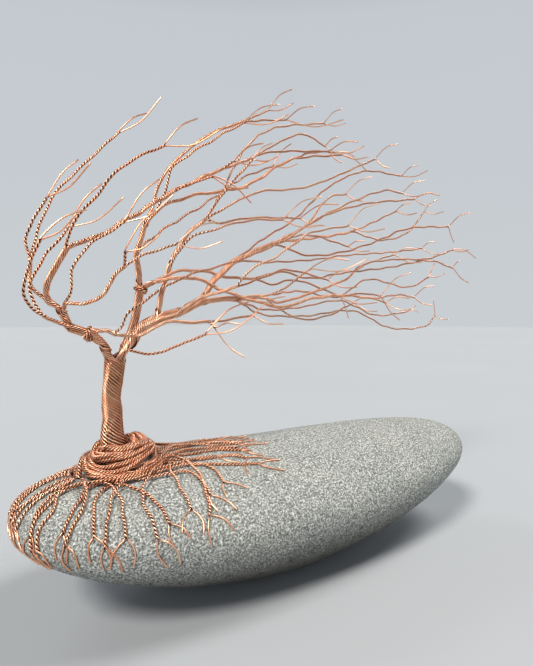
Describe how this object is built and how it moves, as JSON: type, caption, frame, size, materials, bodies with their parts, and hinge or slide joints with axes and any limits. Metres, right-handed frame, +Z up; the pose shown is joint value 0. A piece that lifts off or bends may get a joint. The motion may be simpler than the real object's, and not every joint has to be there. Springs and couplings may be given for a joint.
{
  "type": "wire tree sculpture",
  "caption": "Windswept leafless tree of twisted bare copper wire with a swept crown, its roots spread over a long smooth grey pebble that serves as the plinth.",
  "frame": {"origin": "middle of the small flat spot under the pebble that the object rests on", "axes": "+Z up; +X along the pebble, the way the crown is blown; the longer bare side of the crown is towards +Y"},
  "size_m": [0.2385, 0.0747, 0.1922],
  "materials": {
    "copper": null,
    "stone": "matt, water-worn, finely speckled grey"
  },
  "bodies": {
    "root": {"stone": "stone", "root_mound": "copper", "trunk_and_limbs": "copper", "spray_left_low": "copper", "spray_left_outer": "copper", "spray_left_inner": "copper", "spray_left_long": "copper", "spray_left_dark": "copper", "spray_left_end": "copper", "spray_left_stem": "copper", "spray_left_front": "copper", "spray_cross": "copper", "spray_low_front": "copper", "spray_low_near": "copper", "spray_mid_up": "copper", "spray_mid_curl": "copper", "spray_mid_high": "copper", "spray_mid_near": "copper", "spray_mid_back": "copper", "spray_sweep_top": "copper", "spray_sweep_tail": "copper", "spray_sweep_low": "copper", "spray_sweep_fork": "copper", "spray_up": "copper", "spray_up_short": "copper", "spray_up_front": "copper", "spray_up_level": "copper", "spray_up_low": "copper", "spray_rise": "copper", "spray_rise_twin": "copper", "spray_rise_back": "copper", "spray_rise_long": "copper", "spray_rise_mid": "copper", "spray_rise_far": "copper", "spray_rise_under": "copper", "spray_spread": "copper", "spray_spread_far": "copper", "spray_near": "copper", "spray_near_high": "copper", "spray_loop": "copper", "spray_loop_back": "copper", "spray_loop_far": "copper", "spray_loop_high": "copper", "roots_left": "copper", "roots_corner": "copper", "roots_front": "copper", "roots_near": "copper", "roots_along": "copper", "roots_far": "copper", "roots_behind": "copper"}
  },
  "joints": []
}
